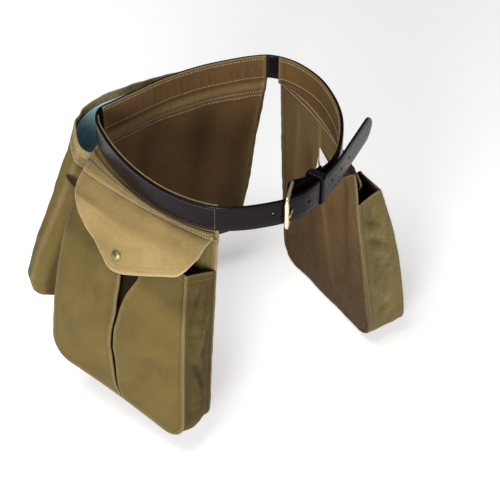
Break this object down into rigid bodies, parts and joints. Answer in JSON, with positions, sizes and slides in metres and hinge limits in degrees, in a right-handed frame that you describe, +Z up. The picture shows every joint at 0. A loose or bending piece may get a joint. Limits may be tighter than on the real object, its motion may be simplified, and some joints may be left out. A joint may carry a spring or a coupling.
{
  "type": "waist belt with two flap pouches and a game bag",
  "caption": "Buckled leather waist belt carrying a bellows pouch on each hip and a lined game bag at the back, all in waxed canvas.",
  "frame": {"origin": "middle of the belt loop, half way up the belt, where the wearer's waist is", "axes": "+Z up, +X the wearer's left, -Y the wearer's front, where the buckle is"},
  "size_m": [0.472, 0.3808, 0.3622],
  "materials": {
    "leather": "smooth bridle leather, dark purple brown",
    "brass": "polished, lightly aged",
    "canvas": "waxed cotton canvas, olive tan",
    "lining": "coated waterproof cloth, teal",
    "snap": "antique brass, dull",
    "label": "woven blank label"
  },
  "bodies": {
    "root": {"belt": "leather", "buckle_frame": "brass", "buckle_prong": "brass", "belt_keeper": "leather", "right_pouch_back_panel": "canvas", "right_pouch_gusset": "canvas", "right_pouch_front_panel": "canvas", "right_pouch_flap": "canvas", "right_pouch_snap_cap": "snap", "right_pouch_snap_stud": "snap", "left_pouch_back_panel": "canvas", "left_pouch_gusset": "canvas", "left_pouch_front_panel": "canvas", "left_pouch_flap": "canvas", "left_pouch_snap_cap": "snap", "left_pouch_snap_stud": "snap", "game_bag_inner_panel": "canvas", "game_bag_outer_panel": "canvas", "game_bag_lining": "lining", "label": "label"}
  },
  "joints": []
}
